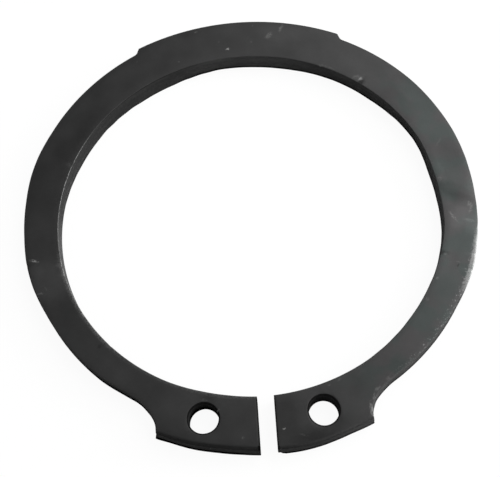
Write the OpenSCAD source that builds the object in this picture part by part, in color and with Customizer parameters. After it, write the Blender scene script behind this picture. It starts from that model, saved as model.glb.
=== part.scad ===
// External retaining ring for a shaft: one stamping of spring steel that tapers from its back to
// two lugs, with a plier hole in each lug and a low pad across the back. The ring lies on its
// sharp-edged face, with the bore's centre at the origin, the back towards +Y and the gap between
// the lugs towards -Y. The upper edges are rolled by the punch. Sizes are in millimetres and
// belong to the relaxed ring.

/* [Ring] */
// Diameter of the bore
bore_d = 36.5; // [30:0.1:46]
// Thickness of the steel
ring_t = 1.75; // [1.2:0.05:2.5]
// Radial width of the beam at the back
back_w = 4.2; // [3.4:0.1:5.2]
// Radial width that the beam's outer circle would leave at the front
front_w = 2.4; // [2:0.1:3]

/* [Back pad] */
// Height of the pad above the beam
pad_h = 0.44; // [0.35:0.01:0.8]
// Angle that the pad spans along its outer edge
pad_span = 54.4; // [20:0.2:80]
// Slope of the ramp at each end of the pad, from the radius there
ramp_slope = 45; // [30:1:55]
// Radius at the foot of each ramp
ramp_foot_r = 0.6; // [0.3:0.1:1]

/* [Lugs] */
// Radial depth of the lugs at the middle of the ring
lug_depth = 4.7; // [4:0.1:6]
// Distance across both lugs
lug_span = 18.5; // [15:0.1:23]
// Distance from the bore's centre forward to the centre of the lugs' outer arc
lug_arc_shift = 1.7; // [0:0.1:3]
// Radius of the hollow between each lug and the beam
lug_hollow_r = 2.8; // [1.5:0.1:4]
// Radius of each lug's outer corner
lug_corner_r = 0.3; // [0.1:0.05:0.6]

/* [Gap] */
// Width of the gap between the lugs
gap_w = 1.45; // [0.8:0.05:3]
// Distance of the gap's middle from the middle of the ring, towards +X
gap_shift = 0.25; // [-0.5:0.05:0.5]
// Radius of each lug's corner at the gap
gap_corner_r = 0.2; // [0.1:0.05:0.6]

/* [Plier holes] */
// Diameter of each hole
hole_d = 2.6; // [2:0.1:3.2]
// Distance between the centres of the holes
hole_pitch = 10.3; // [8:0.1:12.5]
// Distance from the bore out to the centre of each hole
hole_inset = 2.25; // [1.8:0.05:2.7]

/* [Rolled edges] */
// Width of the roll along the outer edge
edge_w = 0.3; // [0.1:0.05:0.4]
// Depth of the roll along the outer edge
edge_d = 0.15; // [0.05:0.05:0.25]
// Width of the roll at the bore, the holes and the gap
rim_w = 0.16; // [0.08:0.02:0.3]
// Depth of the roll at the bore, the holes and the gap
rim_d = 0.1; // [0.04:0.02:0.2]

/* [Hidden] */
$fn = 240;

steel_colour = [0.25, 0.26, 0.26];
// How far a cut runs past the steel, and how far a roll's waste reaches beyond its wall
past = 1;
waste_w = 0.2;
// How far each rounding cuts past the edges that it joins, so that it meets them cleanly
lap = 0.005;

bore_r = bore_d / 2;

// The beam's outer circle is set back from the bore's centre, which makes the taper
beam_r = bore_r + (back_w + front_w) / 2;
beam_centre = [0, (back_w - front_w) / 2];

// The pad's outer edge is concentric with the bore
pad_r = bore_r + back_w + pad_h;
pad_corner = pad_r * [sin(pad_span / 2), cos(pad_span / 2)];
ramp_turn = ramp_slope - pad_span / 2;
ramp_down = [sin(ramp_turn), -cos(ramp_turn)];
ramp_out = [cos(ramp_turn), sin(ramp_turn)];

lug_half = lug_span / 2;
lug_r = bore_r + lug_depth - lug_arc_shift;
lug_centre = [0, -lug_arc_shift];
lug_corner = corner_centre(lug_half - lug_corner_r + lap, lug_corner_r);
// The hollow ends before the lug's corner begins
hollow_limit = (pow(beam_centre.y - lug_corner.y, 2) - pow(beam_r, 2) + pow(lug_half, 2))
    / (2 * (beam_r - lug_half));
hollow_r = min(lug_hollow_r, hollow_limit);
hollow_x = lug_half + hollow_r - lap;
hollow_centre = [
    hollow_x,
    beam_centre.y - sqrt(pow(beam_r + hollow_r - lap, 2) - pow(hollow_x, 2))
];

// The rounding at the foot of a ramp touches the ramp and the beam
foot_start = pad_corner + (ramp_foot_r - lap) * ramp_out;
foot_centre = foot_start
    + reach(foot_start, ramp_down, beam_centre, beam_r + ramp_foot_r - lap) * ramp_down;

gap_left = gap_shift - gap_w / 2;
gap_right = gap_shift + gap_w / 2;

hole_x = hole_pitch / 2;
hole_y = -sqrt(pow(bore_r + hole_inset, 2) - pow(hole_x, 2));

function unit(v) = v / norm(v);
function mirrored(p) = [-p.x, p.y];

// Centre, at a given x, of a corner of a given radius that touches the lugs' outer arc from inside
function corner_centre(x, radius) =
    [x, lug_centre.y - sqrt(pow(lug_r - radius + lap, 2) - pow(x, 2))];

// Distance from a point outside a circle to the circle, along a unit direction towards it
function reach(start, direction, centre, radius) =
    let (offset = start - centre, closing = -(offset * direction))
    closing - sqrt(closing * closing - offset * offset + radius * radius);

// Radius of the arc that leaves the upper face smoothly and meets the wall at the roll's depth
function roll_r(w, d) = (w * w + d * d) / (2 * d);

// Section of the waste above a rolled edge, where the wall is at x = 0 and the face at y = 0
module roll_waste(w, d) {
    difference() {
        translate([-w, -d]) square([w + waste_w, d + past]);
        translate([-w, -roll_r(w, d)]) circle(roll_r(w, d));
    }
}

// Round plate with its upper edge rolled
module plate(centre, radius) {
    translate(centre) rotate_extrude() difference() {
        square([radius, ring_t]);
        translate([radius, ring_t]) roll_waste(edge_w, edge_d);
    }
}

// Round cut right through the steel, with its upper rim rolled
module opening(centre, radius, w, d) {
    translate(centre) rotate_extrude() {
        translate([0, -past]) square([radius, ring_t + 2 * past]);
        translate([radius, ring_t]) mirror([1, 0]) roll_waste(w, d);
    }
}

// Four-sided outline with a corner at centre, its two sides there running along unit directions
// for a given depth, and its other two sides square to them
module kite(centre, first, second, depth) {
    diagonal = first + second;
    polygon([
        centre,
        centre + depth * first,
        centre + 2 * depth * diagonal / (diagonal * diagonal),
        centre + depth * second
    ]);
}

// Steel in the corner between two outer edges, which a hollow of a given radius is then cut from
module hollow_steel(centre, radius, first) {
    linear_extrude(ring_t)
        kite(centre, first, unit(beam_centre - centre), radius + 2 * edge_w);
}

// Waste outside an upright corner of a given radius that touches two walls
module corner_waste(centre, radius, first, second) {
    translate([0, 0, -past]) linear_extrude(ring_t + 2 * past) difference() {
        kite(centre, first, second, radius + past);
        translate(centre) circle(radius);
    }
}

module beam() {
    plate(beam_centre, beam_r);
}

// Both halves of what is the same on the left and on the right
module both_sides() {
    children();
    mirror([1, 0, 0]) children();
}

module pad() {
    top = pad_corner - past * ramp_down;
    buried = pad_corner + (pad_h + back_w / 2) * ramp_down;
    difference() {
        intersection() {
            plate([0, 0], pad_r);
            linear_extrude(ring_t) polygon([
                [0, 0], buried, top, [0, 2 * pad_r], mirrored(top), mirrored(buried)
            ]);
        }
        both_sides() translate([pad_corner.x, pad_corner.y, ring_t])
            rotate([90, 0, ramp_turn]) translate([0, 0, -past])
            linear_extrude(past + pad_h + back_w) roll_waste(edge_w, edge_d);
    }
    both_sides() hollow_steel(foot_centre, ramp_foot_r, -ramp_out);
}

module lugs() {
    intersection() {
        plate(lug_centre, lug_r);
        rotate([90, 0, 0]) linear_extrude(bore_r + 2 * lug_depth) difference() {
            translate([-lug_half, 0]) square([lug_span, ring_t]);
            translate([lug_half, ring_t]) roll_waste(edge_w, edge_d);
            translate([-lug_half, ring_t]) mirror([1, 0]) roll_waste(edge_w, edge_d);
        }
    }
    both_sides() hollow_steel(hollow_centre, hollow_r, [-1, 0]);
}

module hollows() {
    both_sides() {
        opening(foot_centre, ramp_foot_r, edge_w, edge_d);
        opening(hollow_centre, hollow_r, edge_w, edge_d);
    }
}

module gap() {
    rotate([90, 0, 0]) linear_extrude(bore_r + 2 * lug_depth) {
        translate([gap_left, -past]) square([gap_w, ring_t + 2 * past]);
        translate([gap_right, ring_t]) mirror([1, 0]) roll_waste(rim_w, rim_d);
        translate([gap_left, ring_t]) roll_waste(rim_w, rim_d);
    }
}

module lug_corners() {
    left = corner_centre(gap_left - gap_corner_r + lap, gap_corner_r);
    right = corner_centre(gap_right + gap_corner_r - lap, gap_corner_r);
    both_sides()
        corner_waste(lug_corner, lug_corner_r, [1, 0], unit(lug_corner - lug_centre));
    corner_waste(left, gap_corner_r, [1, 0], unit(left - lug_centre));
    corner_waste(right, gap_corner_r, [-1, 0], unit(right - lug_centre));
}

module retaining_ring() {
    color(steel_colour) difference() {
        union() {
            beam();
            pad();
            lugs();
        }
        hollows();
        opening([0, 0], bore_r, rim_w, rim_d);
        both_sides() opening([hole_x, hole_y], hole_d / 2, rim_w, rim_d);
        gap();
        lug_corners();
    }
}

retaining_ring();
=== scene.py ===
"""External retaining ring of black phosphated spring steel, lying on a pale floor.

The ring is one stamping. Its plan is drawn as two chains of arcs and lines, bridged, thickened,
rolled along its upper edges, pierced with the plier holes and then worn.
"""

import logging
import math
from dataclasses import dataclass
from enum import Enum
from typing import Any, Collection, Iterable

import bpy
from mathutils import Matrix, Vector


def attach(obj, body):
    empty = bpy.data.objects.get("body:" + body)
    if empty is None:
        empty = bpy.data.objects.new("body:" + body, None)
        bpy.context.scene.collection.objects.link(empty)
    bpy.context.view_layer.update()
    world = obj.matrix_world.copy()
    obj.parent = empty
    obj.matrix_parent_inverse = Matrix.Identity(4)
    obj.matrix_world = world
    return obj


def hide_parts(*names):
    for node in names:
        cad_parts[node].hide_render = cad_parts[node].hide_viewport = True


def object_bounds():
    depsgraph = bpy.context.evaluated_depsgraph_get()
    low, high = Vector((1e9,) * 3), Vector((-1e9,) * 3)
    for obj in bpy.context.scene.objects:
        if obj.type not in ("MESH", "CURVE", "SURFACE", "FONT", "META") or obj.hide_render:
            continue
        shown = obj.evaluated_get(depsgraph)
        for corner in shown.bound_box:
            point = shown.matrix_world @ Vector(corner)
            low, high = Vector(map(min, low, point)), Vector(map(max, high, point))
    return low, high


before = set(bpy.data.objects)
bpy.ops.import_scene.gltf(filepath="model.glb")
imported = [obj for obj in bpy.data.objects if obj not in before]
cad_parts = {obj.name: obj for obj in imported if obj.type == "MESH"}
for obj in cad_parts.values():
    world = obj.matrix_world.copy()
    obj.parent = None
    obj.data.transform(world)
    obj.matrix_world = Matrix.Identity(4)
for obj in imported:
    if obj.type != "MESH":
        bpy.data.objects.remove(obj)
CAD_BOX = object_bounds()

MM = 0.001
NEAR = 0.001 * MM
SLIVER = 4 * NEAR
UP = Vector((0, 0, 1))
WHITE = (1.0, 1.0, 1.0)
Colour = tuple[float, float, float]
Fade = tuple[float, float]
Sector = tuple[float, float, float, float]
Socket = bpy.types.NodeSocket
log = logging.getLogger("retaining_ring")


# ---------------------------------------------------------------- modelling by hand


class Part(Enum):
    """What a selection is made of."""

    POINTS = "VERT"
    EDGES = "EDGE"


class Wall(Enum):
    """One of the ring's two long walls."""

    OUTER = "outer"
    BORE = "bore"


def turned(radius: float, degrees: float) -> Vector:
    """Returns the point at a radius and a polar angle, in the plan."""
    return Vector((math.cos(math.radians(degrees)), math.sin(math.radians(degrees)), 0)) * radius


def angle_of(direction: Vector) -> float:
    """Returns the polar angle of a direction in the plan, in degrees from 0 to 360."""
    return math.degrees(math.atan2(direction.y, direction.x)) % 360


def turn_between(start: float, end: float) -> float:
    """Returns the shorter turn from one polar angle to another, in degrees."""
    return (end - start + 180) % 360 - 180


def leave_edit_mode() -> None:
    """Goes back to object mode and leaves nothing selected."""
    if bpy.context.object and bpy.context.object.mode != "OBJECT":
        bpy.ops.object.mode_set(mode="OBJECT")
    bpy.ops.object.select_all(action="DESELECT")


def make_active(piece: bpy.types.Object) -> None:
    """Leaves one piece selected and active, in object mode.

    Args:
        piece: The piece to work on next.
    """
    leave_edit_mode()
    piece.select_set(True)
    bpy.context.view_layer.objects.active = piece


def middle(mesh: bpy.types.Mesh, edge: bpy.types.MeshEdge) -> Vector:
    """Returns the middle of an edge."""
    start, end = (mesh.vertices[number].co for number in edge.vertices)
    return (start + end) / 2


def select(piece: bpy.types.Object, part: Part, numbers: Collection[int]) -> None:
    """Selects points or edges by their numbers, and stays in edit mode.

    Args:
        piece: The piece to work on.
        part: Whether points or edges are selected.
        numbers: Their numbers.
    """
    make_active(piece)
    bpy.ops.object.mode_set(mode="EDIT")
    bpy.ops.mesh.select_mode(type=part.value)
    bpy.ops.mesh.select_all(action="DESELECT")
    bpy.ops.object.mode_set(mode="OBJECT")
    elements = piece.data.vertices if part is Part.POINTS else piece.data.edges
    flags = [False] * len(elements)
    for number in numbers:
        flags[number] = True
    elements.foreach_set("select", flags)
    bpy.ops.object.mode_set(mode="EDIT")


def select_rows(piece: bpy.types.Object, lowest: float, highest: float) -> None:
    """Selects the points between two heights, and stays in edit mode."""
    select(piece, Part.POINTS, [p.index for p in piece.data.vertices if lowest < p.co.z < highest])


def select_whole(piece: bpy.types.Object) -> None:
    """Selects all of a piece, and stays in edit mode."""
    select(piece, Part.POINTS, range(len(piece.data.vertices)))


def nearest_point(piece: bpy.types.Object, place: Vector) -> int:
    """Returns the number of the point that is nearest to a place."""
    return min(piece.data.vertices, key=lambda point: (point.co - place).length_squared).index


def push(piece: bpy.types.Object, numbers: Collection[int], shift: Vector, reach: float) -> None:
    """Moves some points, and their neighbours with them, and stays in edit mode.

    Args:
        piece: The piece to work on.
        numbers: Numbers of the points.
        shift: How far they move, and which way.
        reach: Distance over which the movement of their neighbours fades away.
    """
    select(piece, Part.POINTS, numbers)
    bpy.ops.transform.translate(
        value=shift, use_proportional_edit=True,
        proportional_edit_falloff="SMOOTH", proportional_size=reach,
    )


def apply_modifier(piece: bpy.types.Object, kind: str, **settings: Any) -> None:
    """Adds a modifier with its settings and applies it.

    Args:
        piece: The piece to change.
        kind: Blender's name for the modifier's type.
        **settings: Values of the modifier's properties.
    """
    make_active(piece)
    modifier = piece.modifiers.new(kind.lower(), kind)
    for name, value in settings.items():
        setattr(modifier, name, value)
    bpy.ops.object.modifier_apply(modifier=modifier.name)


def report(piece: bpy.types.Object) -> None:
    """Logs a finished piece."""
    log.info("%s: %d faces", piece.name, len(piece.data.polygons))


class Pen:
    """Draws chains of edges in a piece, as arcs and straight lines from where the pen stands."""

    def __init__(self, name: str) -> None:
        """Makes an empty piece to draw in.

        Args:
            name: Name of the piece and its mesh.
        """
        leave_edit_mode()
        bpy.ops.mesh.primitive_plane_add(size=MM)
        self.piece = bpy.context.object
        self.piece.name = self.piece.data.name = name
        bpy.ops.object.mode_set(mode="EDIT")
        bpy.ops.mesh.select_all(action="SELECT")
        bpy.ops.mesh.delete(type="VERT")
        self.place = Vector()

    def start(self, place: Vector) -> None:
        """Puts the pen down on a new point.

        Args:
            place: Where the point is.
        """
        bpy.ops.mesh.select_all(action="DESELECT")
        bpy.ops.mesh.primitive_plane_add(size=MM)
        bpy.ops.mesh.merge(type="CENTER")
        bpy.ops.transform.translate(value=place)
        self.place = place.copy()

    def line(self, end: Vector, steps: int = 1) -> None:
        """Draws a straight line to a point, in equal steps.

        Args:
            end: Where the line ends.
            steps: Number of edges in it.
        """
        step = (end - self.place) / steps
        for _ in range(steps):
            bpy.ops.mesh.extrude_region_move(TRANSFORM_OT_translate={"value": step})
        self.place = end.copy()

    def arc(self, centre: Vector, degrees: float, steps: int, axis: Vector = UP) -> None:
        """Draws an arc about a centre, anticlockwise seen against the axis.

        Args:
            centre: Centre of the arc.
            degrees: Angle that the arc turns through.
            steps: Number of edges in it.
            axis: Axis that it turns about.
        """
        bpy.ops.mesh.spin(steps=steps, angle=math.radians(degrees), center=centre, axis=-axis)
        turn = Matrix.Rotation(math.radians(degrees), 3, axis)
        self.place = centre + turn @ (self.place - centre)


# ---------------------------------------------------------------- the ring


@dataclass(frozen=True)
class Stretch:
    """One stretch of the outer outline: an arc about a centre, or a straight line."""

    end: Vector
    steps: int
    centre: Vector | None = None
    degrees: float = 0.0


@dataclass(frozen=True)
class Nick:
    """A small dent in a wall's upper edge, at a polar angle."""

    angle: float
    wall: Wall
    spread: float
    depth: float


@dataclass(frozen=True)
class Warp:
    """A stretch of a wall that stands off its arc, with its middle and half its length in degrees.

    The push is away from the bore's centre, and it may take in only the wall's lower part.
    """

    angle: float
    half: float
    wall: Wall
    push: float
    low_only: bool = False


@dataclass
class Stamping:
    """The retaining ring, with sizes in metres and its underside on the floor."""

    # The plan: the bore, the beam's widths, the pad, the lugs and their hollows, the gap, the holes.
    bore_r: float = 18.25 * MM
    back_w: float = 4.2 * MM
    front_w: float = 2.4 * MM
    pad_half_angle: float = 27.2
    ramp_slope: float = 45.0
    ramp_foot_r: float = 0.6 * MM
    lug_half: float = 9.25 * MM
    lug_arc_shift: float = 1.7 * MM
    hollow_r: float = 2.8 * MM
    gap_left: float = -0.475 * MM
    gap_right: float = 0.975 * MM
    hole_r: float = 1.3 * MM
    hole_x: float = 5.15 * MM
    hole_inset: float = 2.25 * MM
    # The rolled edges, by their width in the plan, and the lugs' corners.
    outer_roll: float = 0.16 * MM
    left_lug_roll: float = 0.44 * MM
    right_lug_roll: float = 0.32 * MM
    bore_roll: float = 0.08 * MM
    gap_roll: float = 0.14 * MM
    lug_corner: float = 0.06 * MM
    lug_flare: float = 0.22 * MM
    left_flare_spread: float = 1.3 * MM
    right_flare_spread: float = 2.2 * MM
    gap_ease: float = 0.16 * MM
    gap_ease_spread: float = 0.55 * MM
    lower_edge: float = 0.04 * MM
    edge_tolerance: float = 0.05 * MM
    roll_fall: float = 0.5
    rim_w: float = 0.16 * MM
    rim_d: float = 0.12 * MM
    # How finely it is all drawn.
    roll_segments: int = 4
    rim_steps: int = 5
    hole_steps: int = 72
    step: float = 0.14 * MM
    lug_step: float = 0.34 * MM
    fewest_steps: int = 6
    cuts_across: int = 4
    smooth_angle: float = 35.0
    flat_weight: int = 80
    # The walls' rows of points, torn below and sheared above, and how rough the torn ones are.
    torn_rows: tuple[float, ...] = (0.14 * MM, 0.30 * MM, 0.46 * MM, 0.60 * MM)
    sheared_rows: tuple[float, ...] = (0.70 * MM, 1.05 * MM, 1.40 * MM)
    torn_depth: float = 0.05 * MM
    torn_grain: float = 0.22 * MM
    lip_height: float = 0.09 * MM
    # Handling and the press.
    nicks: tuple[Nick, ...] = (
        Nick(159.0, Wall.BORE, 0.40 * MM, 0.08 * MM),
        Nick(193.5, Wall.BORE, 0.40 * MM, 0.06 * MM),
        Nick(197.0, Wall.BORE, 0.30 * MM, 0.05 * MM),
        Nick(211.0, Wall.BORE, 0.30 * MM, 0.04 * MM),
        Nick(224.0, Wall.BORE, 0.25 * MM, 0.03 * MM),
        Nick(49.0, Wall.BORE, 0.40 * MM, 0.07 * MM),
        Nick(341.0, Wall.BORE, 0.30 * MM, 0.05 * MM),
        Nick(191.0, Wall.OUTER, 0.40 * MM, 0.03 * MM),
        Nick(350.5, Wall.OUTER, 0.40 * MM, 0.03 * MM),
        Nick(343.0, Wall.OUTER, 0.35 * MM, 0.06 * MM),
        Nick(338.5, Wall.OUTER, 0.30 * MM, 0.06 * MM),
    )
    warp_reach: float = 0.5 * MM
    warp_low: float = 0.35 * MM
    warp_fade: float = 1.5 * MM
    warp_shares: tuple[float, ...] = (0.45, 0.9, 1.35)
    warps: tuple[Warp, ...] = (
        Warp(29, 9, Wall.BORE, 0.24 * MM, low_only=True),
        Warp(54, 10, Wall.BORE, 0.10 * MM, low_only=True),
        Warp(81, 8, Wall.BORE, -0.08 * MM, low_only=True),
        Warp(119, 13, Wall.BORE, -0.25 * MM, low_only=True),
        Warp(150, 12, Wall.BORE, -0.14 * MM, low_only=True),
        Warp(6, 8, Wall.BORE, -0.16 * MM),
        Warp(4, 9, Wall.OUTER, -0.13 * MM),
        Warp(24, 8, Wall.OUTER, -0.06 * MM),
        Warp(324, 14, Wall.BORE, -0.11 * MM),
        Warp(257, 7, Wall.BORE, -0.07 * MM),
        Warp(338, 4, Wall.OUTER, 0.12 * MM),
        Warp(236, 4, Wall.OUTER, -0.11 * MM),
        Warp(194, 6, Wall.OUTER, 0.10 * MM),
        Warp(162, 6, Wall.OUTER, 0.10 * MM),
        Warp(280, 4, Wall.OUTER, 0.08 * MM),
        Warp(262, 4, Wall.OUTER, -0.09 * MM),
        Warp(297.5, 2, Wall.OUTER, 0.25 * MM),
        Warp(243, 2, Wall.OUTER, 0.24 * MM),
    )

    def __post_init__(self) -> None:
        """Takes the outer sizes from the frame, so that the ring stays inside the part's box."""
        low, high = (Vector(corner) for corner in CAD_BOX)
        self.thick = high.z
        self.pad_r = high.y
        self.beam_r = high.x
        self.beam_centre = Vector((0, (self.back_w - self.front_w) / 2, 0))
        self.lug_centre = Vector((0, -self.lug_arc_shift, 0))
        self.lug_r = -low.y - self.lug_arc_shift
        self.hole_y = -math.sqrt((self.bore_r + self.hole_inset) ** 2 - self.hole_x**2)

    # ------------------------------------------------------------ the outline

    def on_lug_arc(self, x: float) -> Vector:
        """Returns the point of the lugs' outer arc at a given x."""
        return Vector((x, self.lug_centre.y - math.sqrt(self.lug_r**2 - x**2), 0))

    def on_bore(self, x: float) -> Vector:
        """Returns the point of the bore's front at a given x."""
        return Vector((x, -math.sqrt(self.bore_r**2 - x**2), 0))

    def right_half(self) -> list[Stretch]:
        """Plans the right half of the outer outline.

        Returns:
            Its stretches, from the gap's right side to the pad's middle.
        """
        start = self.on_lug_arc(self.gap_right)
        tip = self.on_lug_arc(self.lug_half)
        hollow_x = self.lug_half + self.hollow_r
        reach = self.beam_r + self.hollow_r
        hollow = Vector((hollow_x, self.beam_centre.y - math.sqrt(reach**2 - hollow_x**2), 0))
        pad_corner = turned(self.pad_r, 90 - self.pad_half_angle)
        # The ramp runs down from the pad until its rounded foot touches the beam's arc.
        slope = math.radians(self.ramp_slope - self.pad_half_angle)
        down = Vector((math.sin(slope), -math.cos(slope), 0))
        out = Vector((math.cos(slope), math.sin(slope), 0))
        from_beam = pad_corner + self.ramp_foot_r * out - self.beam_centre
        closing = -from_beam.dot(down)
        far = (self.beam_r + self.ramp_foot_r) ** 2
        ramp = closing - math.sqrt(closing**2 - from_beam.length_squared + far)
        foot = pad_corner + self.ramp_foot_r * out + ramp * down
        beam_start = self.beam_centre + (hollow - self.beam_centre).normalized() * self.beam_r
        beam_end = self.beam_centre + (foot - self.beam_centre).normalized() * self.beam_r
        return [
            self.bend(start, tip, self.lug_centre, self.lug_step),
            Stretch(Vector((self.lug_half, hollow.y, 0)), 1),
            self.bend(Vector((self.lug_half, hollow.y, 0)), beam_start, hollow),
            self.bend(beam_start, beam_end, self.beam_centre),
            self.bend(beam_end, pad_corner + ramp * down, foot),
            Stretch(pad_corner, 1),
            self.bend(pad_corner, Vector((0, self.pad_r, 0)), Vector()),
        ]

    def bend(self, start: Vector, end: Vector, centre: Vector, step: float = 0.0) -> Stretch:
        """Plans the shorter arc between two points about a centre.

        Args:
            start: Where it starts.
            end: Where it ends.
            centre: Its centre.
            step: Length of its edges, or 0 for the usual one.

        Returns:
            The arc, in enough edges to look round.
        """
        turn = turn_between(angle_of(start - centre), angle_of(end - centre))
        length = math.radians(abs(turn)) * (start - centre).length
        steps = max(self.fewest_steps, round(length / (step or self.step)))
        return Stretch(end, steps, centre, turn)

    def outline(self) -> tuple[Vector, list[Stretch]]:
        """Plans the whole outer outline, with its left half the mirror of its right.

        Returns:
            Its start at the gap and its stretches, anticlockwise.
        """
        right = self.right_half()
        flip = Matrix.Diagonal((-1, 1, 1))
        places = [self.on_lug_arc(-self.gap_left)] + [stretch.end for stretch in right]
        left = []
        for index in reversed(range(len(right))):
            stretch, back_to = right[index], flip @ places[index]
            if stretch.centre is None:
                left.append(Stretch(back_to, stretch.steps))
            else:
                mirrored = flip @ stretch.centre
                step = self.lug_step if mirrored == self.lug_centre else self.step
                left.append(self.bend(flip @ stretch.end, back_to, mirrored, step))
        return self.on_lug_arc(self.gap_right), right + left

    # ------------------------------------------------------------ the solid

    def draw_plan(self) -> bpy.types.Object:
        """Draws the outer and the inner edge with as many points each, and bridges them.

        Returns:
            The flat plan, in edit mode.
        """
        start, stretches = self.outline()
        pen = Pen("retaining_ring_steel")
        pen.start(start)
        for stretch in stretches:
            if stretch.centre is None:
                pen.line(stretch.end, stretch.steps)
            else:
                pen.arc(stretch.centre, stretch.degrees, stretch.steps)
        pen.start(self.on_bore(self.gap_right))
        last = Stretch(self.on_bore(self.gap_left), stretches[-1].steps)
        for stretch in stretches[:-1] + [last]:
            turn = turn_between(angle_of(pen.place), angle_of(stretch.end))
            pen.arc(Vector(), turn, stretch.steps)
        bpy.ops.mesh.select_all(action="SELECT")
        bpy.ops.mesh.bridge_edge_loops(
            number_cuts=self.cuts_across, interpolation="LINEAR", smoothness=0
        )
        return pen.piece

    def thicken(self, piece: bpy.types.Object) -> None:
        """Raises the plan to its thickness in rows, and rolls its edges.

        The blank is taller than the ring, in the ratio of a roll's width to its depth, and is
        pressed down to its thickness after the edges are rounded.

        Args:
            piece: The flat plan, in edit mode.
        """
        bpy.ops.mesh.select_all(action="SELECT")
        level = 0.0
        for row in (*self.torn_rows, *self.sheared_rows, self.thick):
            rise = (0, 0, (row - level) / self.roll_fall)
            bpy.ops.mesh.extrude_region_move(TRANSFORM_OT_translate={"value": rise})
            level = row
        bpy.ops.mesh.select_all(action="SELECT")
        bpy.ops.mesh.normals_make_consistent(inside=False)
        leave_edit_mode()
        widest = max(self.outer_roll, self.left_lug_roll)
        for width, numbers in self.rolls(piece.data).items():
            select(piece, Part.EDGES, numbers)
            bpy.ops.transform.edge_bevelweight(value=width / widest)
            log.info("%d edges rolled %.3f mm wide", len(numbers), width / MM)
        apply_modifier(
            piece, "BEVEL", limit_method="WEIGHT", width=widest, segments=self.roll_segments,
            use_clamp_overlap=False, loop_slide=True,
        )
        select_whole(piece)
        bpy.ops.transform.resize(value=(1, 1, self.roll_fall), center_override=(0, 0, 0))
        leave_edit_mode()

    def rolls(self, mesh: bpy.types.Mesh) -> dict[float, set[int]]:
        """Sorts the blank's sharp edges by the width of the roll that each of them gets.

        Args:
            mesh: The mesh of the blank.

        Returns:
            Edge numbers, under the width of their roll.
        """
        top = self.thick / self.roll_fall
        faces_at: dict[tuple[int, int], set[bool]] = {}
        for face in mesh.polygons:
            for key in face.edge_keys:
                faces_at.setdefault(key, set()).add(abs(face.normal.z) > 0.5)
        found: dict[float, set[int]] = {}
        for edge in mesh.edges:
            place = middle(mesh, edge)
            between_rows = all(abs(mesh.vertices[i].co.z - place.z) > NEAR for i in edge.vertices)
            if between_rows and self.is_corner(place):
                width = self.lug_corner
            elif len(faces_at[edge.key]) < 2:
                continue
            elif place.z < top / 2:
                width = self.lower_edge
            else:
                width = self.upper_roll(place)
            found.setdefault(width, set()).add(edge.index)
        return found

    def is_corner(self, place: Vector) -> bool:
        """Tells whether a place is over an outer corner of a lug.

        Args:
            place: The place, at any height.

        Returns:
            Whether it is.
        """
        flat = Vector((place.x, place.y, 0))
        corners = (-self.lug_half, self.gap_left, self.gap_right, self.lug_half)
        return any((flat - self.on_lug_arc(x)).length < NEAR for x in corners)

    def upper_roll(self, place: Vector) -> float:
        """Picks the width of the roll at a place on the upper outline.

        Args:
            place: The middle of an upper edge.

        Returns:
            The width in the plan.
        """
        flat = Vector((place.x, place.y, 0))
        if flat.y < 0 and min(abs(flat.x - self.gap_left), abs(flat.x - self.gap_right)) < NEAR:
            return self.gap_roll
        if abs(flat.length - self.bore_r) < self.edge_tolerance:
            return self.bore_roll
        if flat.y > 0 or abs(flat.x) > self.lug_half - NEAR:
            return self.outer_roll
        full = self.left_lug_roll if flat.x < 0 else self.right_lug_roll
        share = min(1.0, (self.lug_half - abs(flat.x)) / (2 * self.lug_step))
        return self.outer_roll + round(share, 1) * (full - self.outer_roll)

    def hole_cutter(self, x: float) -> bpy.types.Object:
        """Makes the tool that pierces one plier hole and rolls its upper rim.

        Args:
            x: Place of the hole's centre from side to side.

        Returns:
            The closed cutter.
        """
        past = MM
        roll_r = (self.rim_w**2 + self.rim_d**2) / (2 * self.rim_d)
        wall = Vector((x + self.hole_r, self.hole_y, 0))
        roll_centre = wall + Vector((self.rim_w, 0, self.thick - roll_r))
        rise = math.degrees(math.acos(self.rim_w / roll_r)) if self.rim_w < roll_r else 0.0
        pen = Pen("hole_cutter")
        pen.start(wall - past * UP)
        for row in (*self.torn_rows, self.sheared_rows[0], self.thick - self.rim_d):
            pen.line(wall + row * UP)
        pen.arc(roll_centre, 90 - rise, self.rim_steps, Vector((0, 1, 0)))
        pen.line(pen.place + past * UP)
        bpy.ops.mesh.select_all(action="SELECT")
        centre = Vector((x, self.hole_y, 0))
        bpy.ops.mesh.spin(steps=self.hole_steps, angle=math.tau, center=centre, axis=UP)
        bpy.ops.mesh.select_all(action="SELECT")
        bpy.ops.mesh.remove_doubles(threshold=NEAR)
        bpy.ops.mesh.fill_holes(sides=0)
        bpy.ops.mesh.select_all(action="SELECT")
        bpy.ops.mesh.normals_make_consistent(inside=False)
        leave_edit_mode()
        return pen.piece

    def pierce(self, piece: bpy.types.Object) -> None:
        """Cuts both plier holes, and merges the slivers that the cuts leave.

        Args:
            piece: The ring.
        """
        for x in (-self.hole_x, self.hole_x):
            cutter = self.hole_cutter(x)
            apply_modifier(piece, "BOOLEAN", operation="DIFFERENCE", solver="EXACT", object=cutter)
            bpy.data.objects.remove(cutter)
        select_whole(piece)
        bpy.ops.mesh.remove_doubles(threshold=SLIVER)
        bpy.ops.mesh.select_all(action="SELECT")
        bpy.ops.mesh.dissolve_degenerate(threshold=SLIVER)
        leave_edit_mode()

    # ------------------------------------------------------------ the wear

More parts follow.
